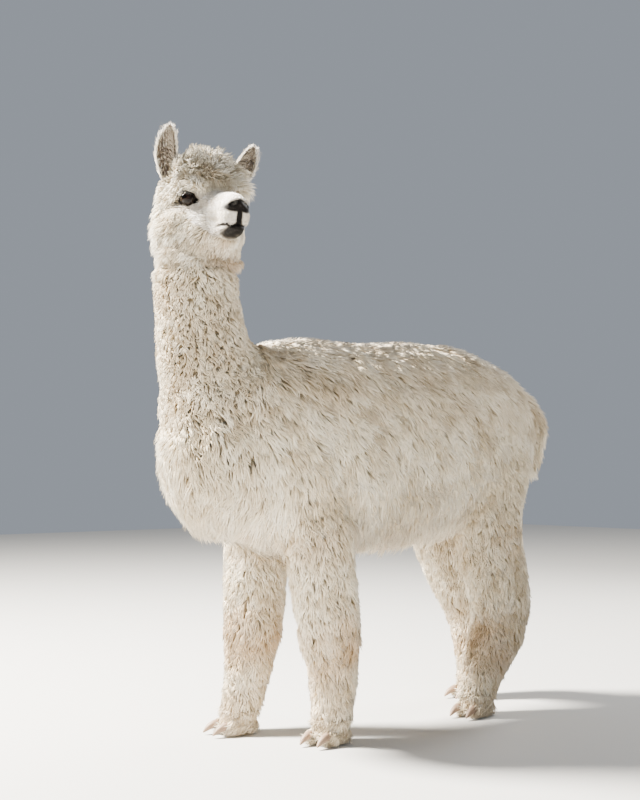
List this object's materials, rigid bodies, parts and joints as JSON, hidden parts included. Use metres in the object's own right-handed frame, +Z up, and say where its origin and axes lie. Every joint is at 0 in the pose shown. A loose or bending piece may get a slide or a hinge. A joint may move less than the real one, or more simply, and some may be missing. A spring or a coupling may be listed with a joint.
{
  "type": "alpaca",
  "caption": "Standing fleeced alpaca, life size, with the neck upright and the head turned to its left; a still display model.",
  "frame": {"origin": "on the floor, in the middle of the animal's outline seen from above", "axes": "+Z up; the animal faces -Y and its left side is +X"},
  "size_m": [0.4402, 1.2548, 1.3936],
  "materials": {
    "fleece": "matte wool",
    "short_hair": "matte short hair",
    "ear_hair": "matte short hair",
    "eye": "wet gloss",
    "nail": "satin horn"
  },
  "bodies": {
    "root": {"ear_left": "ear_hair", "ear_right": "ear_hair", "eye_left": "eye", "eye_right": "eye", "forefoot_left": "short_hair", "forefoot_left_nail_inner": "nail", "forefoot_left_nail_outer": "nail", "forefoot_right": "short_hair", "forefoot_right_nail_inner": "nail", "forefoot_right_nail_outer": "nail", "foreleg_left": "fleece", "foreleg_right": "fleece", "head": "short_hair", "hindfoot_left": "short_hair", "hindfoot_left_nail_inner": "nail", "hindfoot_left_nail_outer": "nail", "hindfoot_right": "short_hair", "hindfoot_right_nail_inner": "nail", "hindfoot_right_nail_outer": "nail", "hindleg_left": "fleece", "hindleg_right": "fleece", "neck": "fleece", "tail": "fleece", "trunk": "fleece"}
  },
  "joints": []
}
